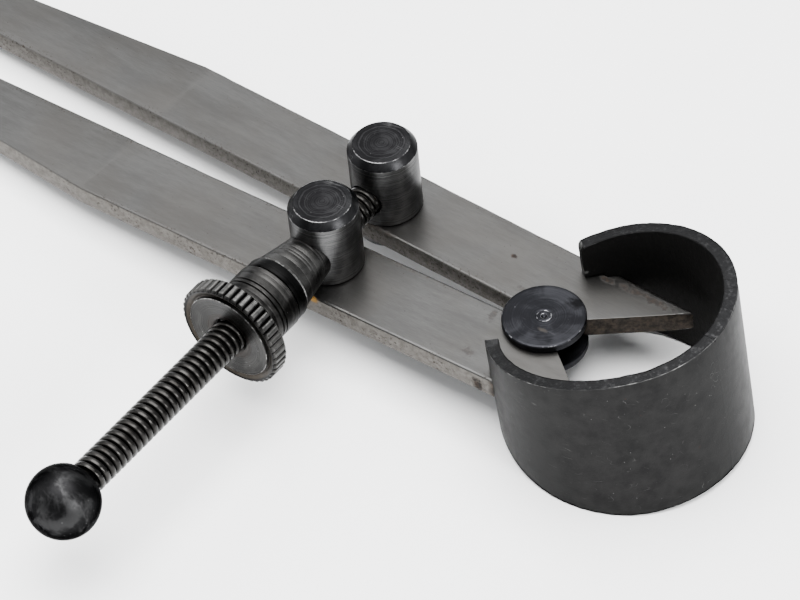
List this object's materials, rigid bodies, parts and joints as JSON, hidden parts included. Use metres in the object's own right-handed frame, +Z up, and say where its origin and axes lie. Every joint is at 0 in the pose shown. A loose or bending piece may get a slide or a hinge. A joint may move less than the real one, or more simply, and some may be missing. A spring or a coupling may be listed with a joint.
{
  "type": "spring divider",
  "caption": "Bow spring dividers with two flat pointed steel legs, a fulcrum roller and an adjusting screw with a knurled nut and a ball end.",
  "frame": {"origin": "the middle of the bow spring's lower edge at its back, which is the point that rests on the bench", "axes": "+Z up along the fulcrum axis, out of the side that carries the pillars and screw; -X along the legs to the points; -Y along the adjusting screw to its ball"},
  "size_m": [0.199, 0.082, 0.0241],
  "materials": {
    "ground_steel": "ground, satin",
    "black_steel": "oil blacked, satin",
    "spring_steel": "blacked strip, matt",
    "screw_steel": "blacked thread",
    "turned_steel": "turned, satin"
  },
  "bodies": {
    "anchor_side": {"anchor_leg": "ground_steel", "bow_spring": "spring_steel"},
    "nut_side": {"nut_leg": "ground_steel"},
    "roller": {"fulcrum_roller": "black_steel"},
    "screw": {"anchor_pillar": "black_steel", "anchor_washer": "black_steel", "adjusting_screw": "screw_steel", "ball_end": "black_steel"},
    "slider": {"nut_pillar": "black_steel", "nut_washer": "black_steel", "thrust_sleeve": "turned_steel", "thrust_washer": "black_steel"},
    "nut": {"knurled_nut": "turned_steel"}
  },
  "joints": [
    {"name": "leg_opening", "type": "hinge", "parent": "anchor_side", "child": "nut_side", "pos_m": [-0.02818, 0, 0.00952], "axis": [0, 0, 1], "range_deg": [-3.45, 56.55], "deforming": ["bow_spring"]},
    {"name": "roller_turn", "type": "hinge", "parent": "anchor_side", "child": "roller", "pos_m": [-0.02818, 0, 0.00952], "axis": [0, 0, 1], "range_deg": [-1.75, 28.3]},
    {"name": "screw_swivel", "type": "hinge", "parent": "anchor_side", "child": "screw", "pos_m": [-0.05838, 0.00641, 0.00952], "axis": [0, 0, 1], "range_deg": [-1.75, 28.3]},
    {"name": "pillar_swivel", "type": "hinge", "parent": "nut_side", "child": "slider", "pos_m": [-0.05838, -0.00641, 0.00952], "axis": [0, 0, 1], "range_deg": [-28.3, 1.75]},
    {"name": "nut_turn", "type": "hinge", "parent": "slider", "child": "nut", "pos_m": [-0.05838, -0.02601, 0.01527], "axis": [0, -1, 0], "range_deg": [-557.3, 9260.9]}
  ],
  "couplings": [
    {"joint": "leg_opening", "follows": "nut_turn", "ratio": 0.0061009},
    {"joint": "roller_turn", "follows": "nut_turn", "ratio": 0.0030505},
    {"joint": "screw_swivel", "follows": "nut_turn", "ratio": 0.0030505},
    {"joint": "pillar_swivel", "follows": "nut_turn", "ratio": -0.0030505}
  ]
}
